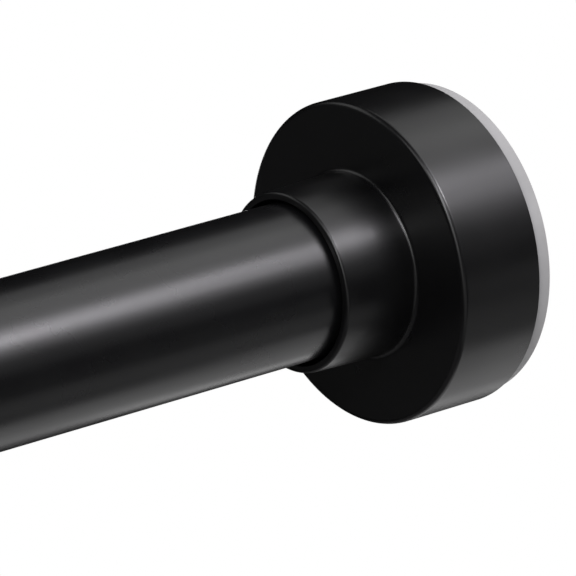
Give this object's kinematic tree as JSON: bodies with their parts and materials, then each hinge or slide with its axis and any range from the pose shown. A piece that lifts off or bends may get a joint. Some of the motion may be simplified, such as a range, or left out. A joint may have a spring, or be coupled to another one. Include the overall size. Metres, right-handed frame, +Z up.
{
  "type": "spring tension rod",
  "caption": "Telescoping curtain rod held between two walls by a spring behind its length screw, with a round padded cap at each end.",
  "frame": {"origin": "middle of the fixed end's pad face, where it meets the wall", "axes": "+X along the rod from the fixed end's wall to the sliding end's wall, +Z up"},
  "size_m": [0.4064, 0.0524, 0.0524],
  "materials": {
    "tube_paint": "satin black powder coat",
    "cap_plastic": "satin black",
    "bush_plastic": "matt black",
    "inner_plastic": "natural nylon",
    "pad_rubber": "light grey, matt",
    "steel": "zinc plated",
    "spring_steel": "drawn wire"
  },
  "bodies": {
    "fixed_side": {"outer_tube": "tube_paint", "end_cap_fixed": "cap_plastic", "wall_pad_fixed": "pad_rubber", "anchor_plug": "inner_plastic", "plug_pins": "steel", "seat_washer": "steel", "tension_spring": "spring_steel", "mouth_bush": "bush_plastic"},
    "screw": {"lead_screw": "steel", "thrust_washer": "steel", "spring_collar": "inner_plastic", "tail_washer": "steel", "tail_nut": "steel", "travel_stop": "inner_plastic", "stop_pin": "steel"},
    "guide": {"guide_sleeve": "inner_plastic"},
    "sliding_side": {"inner_tube": "tube_paint", "drive_nut": "inner_plastic", "nut_pins": "steel", "reducer_sleeve": "bush_plastic", "end_cap_sliding": "cap_plastic", "wall_pad_sliding": "pad_rubber"}
  },
  "joints": [
    {"name": "spring_press", "type": "slide", "parent": "fixed_side", "child": "screw", "axis": [1, 0, 0], "range_m": [-0.016, 0], "stiffness_N_per_m": 5900, "springref_m": 0.014, "deforming": ["tension_spring"]},
    {"name": "extend", "type": "slide", "parent": "screw", "child": "guide", "axis": [1, 0, 0], "range_m": [0, 0.2032]},
    {"name": "twist", "type": "hinge", "parent": "guide", "child": "sliding_side", "pos_m": [0.1092, 0, 0], "axis": [1, 0, 0], "range_deg": [0, 7315.3]}
  ],
  "couplings": [
    {"joint": "twist", "follows": "extend", "rad_per_m": 628.32}
  ]
}
